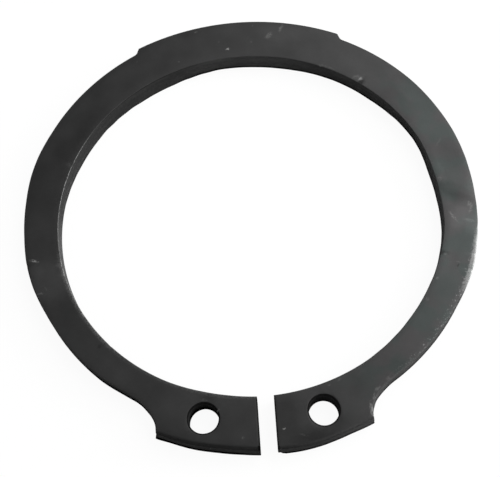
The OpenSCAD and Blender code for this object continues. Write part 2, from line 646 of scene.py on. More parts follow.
    def tear(self, piece: bpy.types.Object) -> None:
        """Roughens the lower part of the walls, where the steel was torn and not sheared.

        Args:
            piece: The ring.
        """
        lip = self.torn_rows[-1] - NEAR, self.sheared_rows[0] + NEAR
        self.displace(piece, "torn_lip", "Z", lip, 2 * self.torn_grain, self.lip_height, level=0.5)
        lowest = self.torn_rows[0] - NEAR - self.lip_height
        highest = self.torn_rows[-1] + NEAR + self.lip_height / 2
        torn = (lowest, highest)
        self.displace(piece, "torn_grain", "NORMAL", torn, self.torn_grain, self.torn_depth, level=1.0)

    def displace(
        self,
        piece: bpy.types.Object,
        name: str,
        direction: str,
        heights: tuple[float, float],
        grain: float,
        strength: float,
        level: float,
    ) -> None:
        """Moves the points of some rows by a cloud pattern.

        Args:
            piece: The ring.
            name: Name of the pattern and of the points' group.
            direction: Way that they move, as the modifier calls it.
            heights: Lowest and highest point that moves.
            grain: Size of the pattern's lumps.
            strength: Difference in movement between the pattern's black and white.
            level: Brightness that doesn't move.
        """
        pattern = bpy.data.textures.new(name, "CLOUDS")
        pattern.noise_scale = grain
        select_rows(piece, *heights)
        bpy.ops.object.vertex_group_assign_new()
        apply_modifier(
            piece, "DISPLACE", texture=pattern, texture_coords="LOCAL", direction=direction,
            strength=strength, mid_level=level, vertex_group=piece.vertex_groups.active.name,
        )
        piece.vertex_groups.clear()

    def wall_radius(self, angle: float, wall: Wall) -> float:
        """Returns how far a wall is from the bore's centre, leaving the pad and the hollows aside.

        Args:
            angle: Polar angle, from 0 to 360 degrees.
            wall: Which wall it is.

        Returns:
            The distance in the plan.
        """
        if wall is Wall.BORE:
            return self.bore_r
        on_lugs = abs(angle - 270) < angle_of(self.on_lug_arc(self.lug_half)) - 270
        centre, radius = (self.lug_centre, self.lug_r) if on_lugs else (self.beam_centre, self.beam_r)
        aside = centre.y * math.cos(math.radians(angle))
        along = centre.y * math.sin(math.radians(angle))
        return along + math.sqrt(radius**2 - aside**2)

    def wall_points(self, piece: bpy.types.Object, wall: Wall) -> list[tuple[int, float, float]]:
        """Finds the points on and near a wall.

        Args:
            piece: The ring.
            wall: Which wall it is.

        Returns:
            The number, the polar angle and the height of each point.
        """
        found = []
        for point in piece.data.vertices:
            angle = angle_of(point.co)
            from_wall = math.hypot(point.co.x, point.co.y) - self.wall_radius(angle, wall)
            if abs(from_wall) < self.warp_reach:
                found.append((point.index, angle, point.co.z))
        return found

    def warp(self, piece: bpy.types.Object) -> None:
        """Pushes stretches of the walls off their arcs, as the press left them.

        Args:
            piece: The ring.
        """
        walls = {wall: self.wall_points(piece, wall) for wall in Wall}
        for warp in self.warps:
            top = self.warp_low if warp.low_only else self.thick + NEAR
            asides = {
                number: abs(turn_between(warp.angle, angle)) / warp.half
                for number, angle, height in walls[warp.wall]
                if height < top
            }
            shift = turned(warp.push / len(self.warp_shares), warp.angle)
            for share in self.warp_shares:
                near = {number for number, aside in asides.items() if aside < share}
                push(piece, near, shift, self.warp_fade)
        leave_edit_mode()

    def nick(self, piece: bpy.types.Object) -> None:
        """Presses the small dents into the upper edges.

        Args:
            piece: The ring.
        """
        for nick in self.nicks:
            edge = turned(self.wall_radius(nick.angle, nick.wall), nick.angle) + self.thick * UP
            into = turned(-1.0 if nick.wall is Wall.OUTER else 1.0, nick.angle) - UP
            push(piece, {nearest_point(piece, edge)}, into.normalized() * nick.depth, nick.spread)
        leave_edit_mode()

    def flare(self, piece: bpy.types.Object) -> None:
        """Draws out the lugs' lower outer corners and eases the one at the gap's right side.

        Args:
            piece: The ring.
        """
        left, right = Vector((-self.lug_flare, 0, 0)), Vector((self.lug_flare, 0, 0))
        inward = Vector((self.gap_ease, self.gap_ease, 0))
        for x, shift, reach in (
            (-self.lug_half, left, self.left_flare_spread),
            (self.lug_half, right, self.right_flare_spread),
            (self.gap_right, inward, self.gap_ease_spread),
        ):
            push(piece, {nearest_point(piece, self.on_lug_arc(x))}, shift, reach)
        leave_edit_mode()

    def smooth(self, piece: bpy.types.Object) -> None:
        """Shades the rolled edges smooth and keeps the flat faces flat.

        Args:
            piece: The ring.
        """
        make_active(piece)
        bpy.ops.object.shade_smooth_by_angle(angle=math.radians(self.smooth_angle))
        apply_modifier(piece, "WEIGHTED_NORMAL", keep_sharp=True, weight=self.flat_weight)

    def build(self) -> bpy.types.Object:
        """Builds the whole stamping.

        Returns:
            The ring, with no material yet.
        """
        piece = self.draw_plan()
        self.thicken(piece)
        self.pierce(piece)
        self.warp(piece)
        self.tear(piece)
        self.nick(piece)
        self.flare(piece)
        self.smooth(piece)
        return piece


# ---------------------------------------------------------------- shader maths


class Value:
    """A number in a shader, which Python's operators work on by adding Math nodes."""

    def __init__(self, shader: "Shader", socket: Socket) -> None:
        """Wraps an output socket of a shader's node."""
        self.shader = shader
        self.socket = socket

    def __add__(self, other: "Value | float") -> "Value":
        """Returns self + other."""
        return self.shader.math("ADD", self, other)

    __radd__ = __add__

    def __sub__(self, other: "Value | float") -> "Value":
        """Returns self - other."""
        return self.shader.math("SUBTRACT", self, other)

    def __rsub__(self, other: float) -> "Value":
        """Returns other - self."""
        return self.shader.math("SUBTRACT", other, self)

    def __mul__(self, other: "Value | float") -> "Value":
        """Returns self * other."""
        return self.shader.math("MULTIPLY", self, other)

    __rmul__ = __mul__

    def __abs__(self) -> "Value":
        """Returns the value without its sign."""
        return self.shader.math("ABSOLUTE", self)

    def __pow__(self, power: float) -> "Value":
        """Returns the value to a power."""
        return self.shader.math("POWER", self, power)

    @staticmethod
    def sum(values: Iterable["Value"]) -> "Value":
        """Adds some values up.

        Args:
            values: The values, at least one.

        Returns:
            Their sum.
        """
        first, *others = values
        for value in others:
            first = first + value
        return first

    def largest(self, other: "Value | float") -> "Value":
        """Returns the larger of two values."""
        return self.shader.math("MAXIMUM", self, other)

    def between(self, low: float, high: float) -> "Value":
        """Makes a smooth rise from one value to another, or a fall if the first is the higher.

        Args:
            low: Where the result is 0, and beyond it.
            high: Where the result is 1, and beyond it.

        Returns:
            The result, from 0 to 1.
        """
        settings = {"interpolation_type": "SMOOTHSTEP", "clamp": True}
        ends = {"From Min": low, "From Max": high, "To Min": 0.0, "To Max": 1.0}
        if low > high:
            ends = {"From Min": high, "From Max": low, "To Min": 1.0, "To Max": 0.0}
        return self.shader.value("ShaderNodeMapRange", settings, {"Value": self, **ends})


class Shader:
    """A material or world whose nodes are added one at a time."""

    MIX_FIRST, MIX_SECOND, MIX_RESULT = 6, 7, 2

    def __init__(self, owner: bpy.types.Material | bpy.types.World) -> None:
        """Empties the owner's node tree.

        Args:
            owner: The material or world.
        """
        owner.use_nodes = True
        self.tree = owner.node_tree
        self.tree.nodes.clear()

    def node(self, kind: str, settings: dict[str, Any], inputs: dict[str | int, Any]) -> bpy.types.Node:
        """Adds a node.

        Args:
            kind: The node's type.
            settings: Its properties, which are set first.
            inputs: Values or links of its sockets, by name or number.

        Returns:
            The node.
        """
        node = self.tree.nodes.new(kind)
        for name, value in settings.items():
            setattr(node, name, value)
        for name, value in inputs.items():
            value = value.socket if isinstance(value, Value) else value
            if isinstance(value, Socket):
                self.tree.links.new(value, node.inputs[name])
            elif isinstance(value, tuple) and len(node.inputs[name].default_value) == 4:
                node.inputs[name].default_value = (*value, 1.0)
            else:
                node.inputs[name].default_value = value
        return node

    def value(self, kind: str, settings: dict[str, Any], inputs: dict[str | int, Any]) -> Value:
        """Adds a node and returns the number that it gives."""
        outputs = self.node(kind, settings, inputs).outputs
        return Value(self, next(socket for socket in outputs if socket.type == "VALUE"))

    def math(self, operation: str, *values: Value | float) -> Value:
        """Adds a Math node for an operation on some values and returns its result."""
        return self.value("ShaderNodeMath", {"operation": operation}, dict(enumerate(values)))

    def mix(self, first: Colour | Socket, second: Colour | Socket, share: Value) -> Socket:
        """Mixes two colours and returns the result."""
        inputs = {"Factor": share, self.MIX_FIRST: first, self.MIX_SECOND: second}
        return self.node("ShaderNodeMix", {"data_type": "RGBA"}, inputs).outputs[self.MIX_RESULT]

    def scaled(self, vector: Socket, factor: Value | float) -> Socket:
        """Multiplies a colour or a place by a number and returns the result."""
        inputs = {"Vector": vector, "Scale": factor}
        return self.node("ShaderNodeVectorMath", {"operation": "SCALE"}, inputs).outputs["Vector"]

    def bump(self, strength: float, distance: float, height: Value) -> Socket:
        """Returns the normal of a surface that a height makes uneven."""
        inputs = {"Strength": strength, "Distance": distance, "Height": height}
        return self.node("ShaderNodeBump", {}, inputs).outputs["Normal"]


# ---------------------------------------------------------------- the finish


@dataclass(frozen=True)
class Mark:
    """A scratch, scuff, speck or soft patch on the upper face, with lengths in millimetres.

    Its turn is from the x axis, or it lies along the ring if it has none.
    """

    angle: float
    from_bore: float
    along: float
    across: float
    strength: float
    turn: float | None = None


@dataclass(frozen=True)
class RubAndHighlight:
    """A worn line and painted highlight along the bore's upper edge, by distances from the bore in
    millimetres.
    """

    reach: float
    full: float
    sector: Sector
    strength: float


@dataclass(frozen=True)
class PaintedShade:
    """A sector of painted light on a wall, which is painted shade where the strength is negative."""

    sector: Sector
    strength: float


@dataclass(frozen=True)
class Pattern:
    """A noise pattern: its lumps to a millimetre, its finer octaves and how strong they are.

    The shift gives a different pattern, and one with a share along the ring follows the ring.
    """

    scale: float
    detail: float
    roughness: float
    shift: float = 0.0
    along: float | None = None


@dataclass(frozen=True)
class BlackSteel:
    """Black phosphated and oiled spring steel, with lengths in millimetres.

    A sector is given by the angles where it starts, is full, starts to fade and ends. A fade is
    given by where an effect starts and is full: depths, heights or distances from an edge, or
    values of a pattern or of the wear.
    """

    # Colours, roughness and how much the clouds and the grain vary the face.
    coat: Colour = (0.055, 0.055, 0.055)
    green: Colour = (0.0495, 0.0555, 0.0540)
    mauve: Colour = (0.0558, 0.0546, 0.0550)
    # Bare steel, which also serves as painted highlight on the bore's edge and as painted light on the
    # bore wall.
    bare_steel_and_highlight: Colour = (0.32, 0.32, 0.317)
    torn_dark: Colour = (0.026, 0.0262, 0.0264)
    torn_light: Colour = (0.038, 0.038, 0.0376)
    roughness: float = 0.36
    wall_roughness: float = 0.62
    tone_spread: tuple[float, float] = (0.40, 0.14)
    roughness_spread: tuple[float, float] = (0.08, 0.05)
    face_bump: float = 0.3
    face_bump_depth: float = 0.01
    wall_bump: float = 0.5
    wall_bump_depth: float = 0.02
    streak_height: float = 0.6
    crumb_height: float = 0.5
    # The noise patterns.
    cloud: Pattern = Pattern(0.45, 3.0, 0.5)
    grain: Pattern = Pattern(14.0, 2.0, 0.6)
    crumbs: Pattern = Pattern(7.0, 2.0, 0.6)
    lumps: Pattern = Pattern(2.2, 3.0, 0.6, shift=17.0)
    patches: Pattern = Pattern(0.40, 2.0, 0.5, shift=31.0)
    streaks: Pattern = Pattern(2.2, 2.0, 0.6, along=0.12)
    wall_crumbs: Pattern = Pattern(5.0, 2.0, 0.6, shift=11.0)
    # Where the face ends and the walls' finish starts, which is higher at the holes and the gap.
    edge_fade: Fade = (0.0, 0.03)
    bared_fade: Fade = (0.04, 0.14)
    bared_wear: Fade = (0.0, 0.08)
    underside_fade: Fade = (0.0, 0.01)
    opening_sharpness: float = 4.0
    # The face's wear, with worn lines along the bore's edge that are partly painted highlight, and its
    # tints.
    rubs_and_highlights: tuple[RubAndHighlight, ...] = (
        RubAndHighlight(0.08, 0.03, (142, 160, 280, 290), 1.0),
        RubAndHighlight(0.44, 0.18, (186, 194, 222, 234), 1.3),
        RubAndHighlight(0.22, 0.14, (188, 196, 217, 228), 1.0),
        RubAndHighlight(0.34, 0.14, (226, 236, 266, 269), 0.6),
    )
    chipped_rim: Sector = (-30, -24, -14, -8)
    flecked_rim: Sector = (-60, -44, -26, -10)
    rub_highlight_crumbs: Fade = (0.36, 0.62)
    rub_highlight_strength: float = 0.15
    least_rub_highlight: float = 0.02
    chip_band: Fade = (0.48, 0.12)
    chip_crumbs: Fade = (0.53, 0.67)
    chip_growth: float = 0.25
    chip_strength: float = 0.34
    fleck_band: Fade = (0.65, 0.35)
    fleck_crumbs: Fade = (0.56, 0.64)
    fleck_lumps: Fade = (0.40, 0.55)
    fleck_strength: float = 0.36
    scuff_crumbs: Fade = (0.30, 0.62)
    tinted_side: Sector = (-75, -55, 36, 50)
    green_patches: Fade = (0.54, 0.40)
    mauve_patches: Fade = (0.52, 0.62)
    # The walls: their mottle, bare steel laid on the torn zone's lip and the bore wall as painted
    # light, and the painted light and shade that make them lighter or darker.
    mottle: Fade = (0.30, 0.70)
    lip_rise: Fade = (0.25, 0.40)
    lip_fall: Fade = (0.70, 0.50)
    # Painted light: bare steel's colour on the lip of the torn zone and on the bore wall where they
    # face the lamps.
    lip_painted_light: float = 0.08
    lit_bore_wall: Sector = (148, 166, 205, 222)
    lit_wall_crumbs: Fade = (0.35, 0.65)
    wall_painted_light: float = 0.02
    # Painted light and shade on the walls by sector round the ring, lighter where they face the lamps.
    bore_painted_tone: float = 1.15
    bore_painted_shades: tuple[PaintedShade, ...] = (
        PaintedShade((-60, -40, 5, 28), 0.35),
        PaintedShade((60, 85, 94, 110), 0.45),
        PaintedShade((104, 116, 146, 160), -0.15),
        PaintedShade((172, 186, 205, 215), 1.1),
    )
    outer_painted_shades: tuple[PaintedShade, ...] = (
        PaintedShade((-80, -58, 40, 80), 1.2),
        PaintedShade((140, 155, 235, 248), -0.32),
    )
    # Painted shade: darker in the plier holes and the gap, on the holes' rolled rims and on a stretch
    # of the bore's roll.
    opening_shade_loss: float = 0.25
    rim_shade_fade: Fade = (0.20, 0.08)
    rim_shade_loss: float = 0.65
    shaded_roll: Sector = (98, 108, 136, 148)
    shaded_roll_fade: Fade = (0.16, 0.06)
    shaded_roll_loss: float = 0.35
    # Painted shade on the lugs' rolls, less on the right lug, and painted light on the lugs' walls and
    # on the upper sheared rows at the lower left.
    lug_side: Fade = (-0.5, -1.0)
    lug_roll_shade_fade: Fade = (0.24, 0.12)
    lug_roll_shade_loss: float = 0.4
    right_lug: Sector = (-86, -80, 0, 10)
    right_lug_shade_relief: float = 0.6
    lit_lug_walls: Sector = (-97, -88, -72, -62)
    lit_lug_gain: float = 0.35
    lit_sheared_side: Sector = (198, 210, 238, 246)
    lit_sheared_fade: Fade = (1.0, 0.4)
    lit_sheared_gain: float = 0.9
    # Painted contact shadow near the floor, weaker where the lamps reach the foot and deeper on the
    # shaded lower left.
    foot_shadow_fade: Fade = (0.56, 0.32)
    foot_shadow_loss: float = 0.82
    bore_shadow_drop: float = 0.2
    lit_bore_foot: Sector = (102, 112, 215, 225)
    lit_bore_relief: float = 0.8
    lit_outer_foot: Sector = (-84, -76, 0, 20)
    lit_outer_relief: float = 0.4
    shaded_foot: Sector = (200, 212, 262, 268)
    shaded_foot_rise: float = 0.22
    shaded_foot_loss: float = 0.15
    # Marks on the face: worn spots, tinted patches, and lighter or darker patches.
    wear_marks: tuple[Mark, ...] = (
        Mark(77.9, 3.9, 0.75, 0.20, 0.22, 66),
        Mark(81.0, 2.75, 0.65, 0.36, 0.22, 45),
        Mark(93.2, 1.15, 0.30, 0.20, 1.00, 0),
        Mark(101.3, 4.1, 0.24, 0.16, 0.25, 20),
        Mark(85.7, 4.1, 0.22, 0.12, 0.12, 85),
        Mark(86.1, 1.9, 0.24, 0.12, 0.10, 10),
        Mark(95.7, 2.3, 0.16, 0.12, 0.10, 0),
        Mark(62.9, 0.15, 0.22, 0.18, 0.16, 0),
        Mark(109.0, 1.05, 0.20, 0.14, 0.16, 0),
        Mark(119.8, 3.2, 0.18, 0.12, 0.12, 0),
        Mark(190.2, 2.45, 0.58, 0.20, 1.30, -12),
        Mark(199.8, 2.75, 0.50, 0.12, 0.30, 10),
        Mark(199.2, 2.0, 0.14, 0.30, 0.22, 20),
        Mark(49.6, 0.6, 0.34, 0.26, 0.40, 50),
        Mark(51.0, 0.5, 0.60, 0.30, 0.14, 20),
        Mark(60.5, 0.25, 1.0, 0.12, 0.12, 150),
        Mark(18.0, 1.6, 0.9, 0.12, 0.05, 60),
        Mark(353.3, 0.85, 0.85, 0.16, 0.17, 117),
        Mark(352.4, 2.3, 0.75, 0.24, 0.10, 159),
        Mark(6.1, 0.22, 0.40, 0.20, 0.10, 60),
        Mark(357.0, 2.5, 0.55, 0.30, 0.16, 100),
        Mark(355.3, 2.5, 0.35, 0.20, 0.12, 60),
        Mark(341.0, 0.35, 0.24, 0.18, 0.14, 0),
        Mark(339.4, 1.7, 0.30, 0.10, 0.06, 0),
        Mark(333.0, 0.3, 0.20, 0.14, 0.14, 40),
        Mark(326.0, 0.3, 0.34, 0.16, 0.12, 60),
        Mark(322.0, 1.9, 0.14, 0.12, 0.12, 0),
        Mark(274.4, 3.0, 0.18, 0.14, 0.80, 0),
        Mark(278.5, 3.85, 0.60, 0.14, 0.08, 165),
        Mark(265.1, 3.6, 0.22, 0.16, 0.14, 60),
        Mark(294.5, 3.84, 1.00, 0.13, 0.34, 92),
        Mark(296.6, 3.00, 0.45, 0.16, 0.22, 75),
        Mark(298.4, 2.56, 0.40, 0.16, 0.18, 55),
        Mark(302.1, 2.30, 0.40, 0.20, 0.14, 40),
        Mark(291.3, 0.30, 0.30, 0.14, 0.12, 20),
        Mark(288.1, 0.30, 0.30, 0.14, 0.10, 20),
        Mark(258.7, 1.40, 0.10, 0.40, 0.20, -25),
        Mark(254.6, 0.72, 0.45, 0.10, 0.16, -4),
    )
    tint_marks: tuple[Mark, ...] = (
        Mark(297.0, 1.4, 1.8, 1.6, 0.6),
        Mark(332.0, 1.3, 2.6, 1.8, 0.8),
        Mark(345.0, 2.0, 2.4, 1.4, 0.7),
        Mark(2.0, 0.7, 1.6, 1.1, 0.8),
        Mark(8.0, 1.6, 2.6, 1.4, 0.6),
        Mark(20.0, 1.9, 1.8, 1.1, 0.6),
        Mark(35.0, 2.8, 2.6, 1.2, 0.9),
    )
    tone_marks: tuple[Mark, ...] = (
        Mark(353.8, 1.6, 2.2, 1.3, 0.26, 55),
        Mark(351.4, 2.6, 1.6, 0.8, 0.20, 60),
        Mark(2.0, 1.0, 2.2, 1.2, -0.18, 150),
        Mark(359.0, 1.5, 1.9, 1.0, -0.13, 140),
        Mark(338.6, 1.7, 0.26, 0.14, -0.35, 70),
        Mark(221.8, 0.65, 0.30, 0.18, -0.25, 60),
        Mark(2.0, 3.0, 1.8, 0.8, 0.14),
        Mark(338.0, 0.5, 2.6, 1.0, 0.08),
        Mark(8.5, 0.45, 1.8, 0.6, 0.12),
        Mark(13.0, 2.2, 2.8, 1.6, -0.12),
        Mark(25.0, 1.8, 3.6, 2.2, 0.10),
        Mark(36.0, 2.6, 2.6, 1.2, 0.16),
        Mark(197.5, 1.6, 3.0, 2.6, 0.46),
        Mark(193.0, 2.4, 1.8, 0.9, 0.16),
        Mark(146.0, 0.8, 2.4, 1.3, -0.16),
        Mark(155.5, 1.3, 2.8, 1.8, -0.12),
        Mark(164.0, 2.4, 2.4, 1.4, -0.08),
        Mark(183.0, 1.6, 3.0, 2.0, 0.12),
        Mark(78.0, 3.2, 3.2, 1.5, 0.13),
        Mark(79.0, 0.6, 3.0, 1.2, -0.08),
        Mark(226.0, 1.7, 8.0, 3.4, 0.12),
        Mark(250.0, 1.6, 3.0, 2.0, 0.14),
        Mark(275.0, 2.5, 1.8, 3.2, -0.16),
        Mark(283.0, 3.9, 3.4, 1.5, -0.26),
        Mark(280.0, 4.3, 2.4, 0.9, -0.14),
    )

    def material(self, ring: Stamping) -> bpy.types.Material:
        """Makes the material.

        Args:
            ring: The ring that wears it, whose sizes place the wear.

        Returns:
            The finished material.
        """
        material = bpy.data.materials.new("black_spring_steel")
        shader = Shader(material)
        here = Surface(shader, ring)
        wear_and_highlights = self.wear_and_highlights(here)
        # The walls' finish starts at the upper edge, and lower where wear, part of it painted highlight
        # along the bore, has bared the roll.
        sharpness = here.by_opening * self.opening_sharpness + 1.0
        edge = (here.depth * sharpness).between(*self.edge_fade)
        bared = here.depth.between(*self.bared_fade)
        upright = edge + (bared - edge) * wear_and_highlights.between(*self.bared_wear)
        upright = upright * here.height.between(*self.underside_fade)
        surfaces = {0: upright, 1: self.face(here, wear_and_highlights), 2: self.wall(here)}
        both = shader.node("ShaderNodeMixShader", {}, surfaces)
        shader.node("ShaderNodeOutputMaterial", {}, {"Surface": both.outputs[0]})
        return material

    def wear_and_highlights(self, here: "Surface") -> Value:
        """Works out how far the black coat is worn through, with worn lines along the bore's edge that
        are partly painted highlight.

        Args:
            here: Where the shaded point lies on the ring.

        Returns:
            The wear: 0 where the coat is whole, and 1 or more where it is gone.
        """
        crumbs = here.noise(self.crumbs)
        # Worn lines along the bore's edge, on the side that faces the lamps: partly real wear, partly
        # painted highlight.
        rubbed_and_lit = Value.sum(
            here.from_bore.between(rub.reach, rub.full) * here.window(rub.sector) * rub.strength
            for rub in self.rubs_and_highlights
        )
        uneven = crumbs.between(*self.rub_highlight_crumbs) * self.rub_highlight_strength + self.least_rub_highlight
        wear_and_highlights = rubbed_and_lit * uneven
        near_rim = here.from_rim.between(*self.chip_band)
        chips = (crumbs + near_rim * self.chip_growth).between(*self.chip_crumbs) * near_rim
        wear_and_highlights = wear_and_highlights.largest(chips * here.window(self.chipped_rim) * self.chip_strength)
        lumps = here.noise(self.lumps)
        flecks = crumbs.between(*self.fleck_crumbs) * lumps.between(*self.fleck_lumps)
        flecks = flecks * here.from_rim.between(*self.fleck_band)
        wear_and_highlights = wear_and_highlights.largest(flecks * here.window(self.flecked_rim) * self.fleck_strength)
        scuffs = Value.sum(here.spots(self.wear_marks))
        return wear_and_highlights.largest(scuffs * crumbs.between(*self.scuff_crumbs))

    def face(self, here: "Surface", wear_and_highlights: Value) -> Socket:
        """Makes the surface of the rolled strip, dark and satin, with its patches, its wear and worn
        lines that are partly painted highlight.

        Args:
            here: Where the shaded point lies on the ring.
            wear_and_highlights: How far the black coat is worn through, partly as painted highlight.

        Returns:
            The surface.
        """
        shader = here.shader
        cloud = here.noise(self.cloud)
        grain = here.noise(self.grain)
        plain = self.varied(1.0, self.tone_spread, cloud, grain)
        tone = Value.sum([plain, *here.spots(self.tone_marks)])
        patches = here.noise(self.patches)
        tinted = here.window(self.tinted_side)
        tints = Value.sum(here.spots(self.tint_marks))
        tint = tints.largest(patches.between(*self.green_patches)) * tinted
        colour = shader.mix(self.coat, self.mauve, patches.between(*self.mauve_patches) * tinted)
        colour = shader.mix(colour, self.green, tint)
        colour = shader.mix(shader.scaled(colour, tone), self.bare_steel_and_highlight, wear_and_highlights)
        surface = shader.node(
            "ShaderNodeBsdfPrincipled",
            {},
            {
                "Base Color": colour,
                "Metallic": 1.0,
                "Roughness": self.varied(self.roughness, self.roughness_spread, cloud, grain),
                "Normal": shader.bump(self.face_bump, self.face_bump_depth * MM, grain - wear_and_highlights),
            },
        )
        return surface.outputs[0]

    @staticmethod
    def varied(middle: float, spread: tuple[float, float], cloud: Value, grain: Value) -> Value:
        """Returns a number that two patterns vary about its middle, where both are 0.5."""
        return cloud * spread[0] + grain * spread[1] + (middle - sum(spread) / 2)

    def wall(self, here: "Surface") -> Socket:
        """Makes the surface of the sheared walls, matt, with upright shear marks and with painted light
        and shade in its colour.

        Args:
            here: Where the shaded point lies on the ring.

        Returns:
            The surface.
        """
        shader = here.shader
        streaks = here.noise(self.streaks)
        crumbs = here.noise(self.wall_crumbs)
        mottle = (streaks * 0.5 + crumbs * 0.5).between(*self.mottle)
        torn = shader.mix(self.torn_dark, self.torn_light, mottle)
        # Painted light: bare steel's colour on the lip and on the bore wall that face the lamps.
        lip = here.height.between(*self.lip_rise) * here.height.between(*self.lip_fall)
        rubbed_and_lit = here.window(self.lit_bore_wall) * here.near_bore
        rubbed_and_lit = rubbed_and_lit * crumbs.between(*self.lit_wall_crumbs)
        colour = shader.mix(torn, self.bare_steel_and_highlight, rubbed_and_lit * (lip * self.lip_painted_light + self.wall_painted_light))
        height = streaks * self.streak_height + crumbs * self.crumb_height
        surface = shader.node(
            "ShaderNodeBsdfPrincipled",
            {},
            {
                "Base Color": shader.scaled(colour, self.painted_wall_shade(here)),
                "Roughness": self.wall_roughness,
                "Specular IOR Level": 0.0,
                "Normal": shader.bump(self.wall_bump, self.wall_bump_depth * MM, height),
            },
        )
        return surface.outputs[0]

    def painted_wall_shade(self, here: "Surface") -> Value:
        """Works out the painted light and shade on the walls, round the ring and from the top to the
        foot.

        Args:
            here: Where the shaded point lies on the ring.

        Returns:
            A factor for their colour.
        """
        # Painted light and shade by sector, on the bore and on the outer wall.
        bore = here.painted_shades(self.bore_painted_shades) + self.bore_painted_tone
        outer = self.painted_outer_shade(here)
        shade = outer + (bore - outer) * here.near_bore
        # Painted shade on the holes' rims, on a stretch of the bore's roll, and inside the openings.
        rim_shade = here.depth.between(*self.rim_shade_fade) * here.by_opening
        shaded_roll = here.depth.between(*self.shaded_roll_fade) * here.near_bore
        shaded_roll = shaded_roll * here.window(self.shaded_roll)
        rolls = 1.0 - rim_shade * self.rim_shade_loss - shaded_roll * self.shaded_roll_loss
        openings = 1.0 - here.by_opening * self.opening_shade_loss
        return shade * (1.0 - self.foot(here)) * openings * rolls

    def painted_outer_shade(self, here: "Surface") -> Value:
        """Works out the painted light and shade on the outer wall: shade on the lugs' rolls, light on
        the lugs and the upper sheared rows.

        Args:
            here: Where the shaded point lies on the ring.

        Returns:
            A factor for its colour.
        """
        on_lug = here.from_rim.between(*self.lug_side)
        # Painted shade on the lugs' rolls, and painted light on the lugs' walls.
        shaded_lug = on_lug * (1.0 - here.window(self.right_lug) * self.right_lug_shade_relief)
        roll = here.depth.between(*self.lug_roll_shade_fade) * shaded_lug
        shade = (here.painted_shades(self.outer_painted_shades) + 1.0) * (1.0 - roll * self.lug_roll_shade_loss)
        shade = shade * (1.0 + here.window(self.lit_lug_walls) * on_lug * self.lit_lug_gain)
        # Painted light on the upper sheared rows of the lower left outer wall.
        lit_sheared = here.window(self.lit_sheared_side) * here.depth.between(*self.lit_sheared_fade)
        return shade * (1.0 + lit_sheared * self.lit_sheared_gain)

    def foot(self, here: "Surface") -> Value:
        """Works out the painted contact shadow on the walls near the floor, which also stands for the
        darker torn steel there.

        Args:
            here: Where the shaded point lies on the ring.

        Returns:
            The share of their colour that they lose.
        """
        # Painted shadow: weaker where the lamps reach the foot, deeper and higher on the shaded side.
        lit = here.window(self.lit_bore_foot) * here.near_bore * self.lit_bore_relief
        lit = lit + here.window(self.lit_outer_foot) * self.lit_outer_relief
        shaded = here.window(self.shaded_foot)
        height = here.height + here.near_bore * self.bore_shadow_drop - shaded * self.shaded_foot_rise
        loss = shaded * self.shaded_foot_loss - lit + self.foot_shadow_loss
        return height.between(*self.foot_shadow_fade) * loss


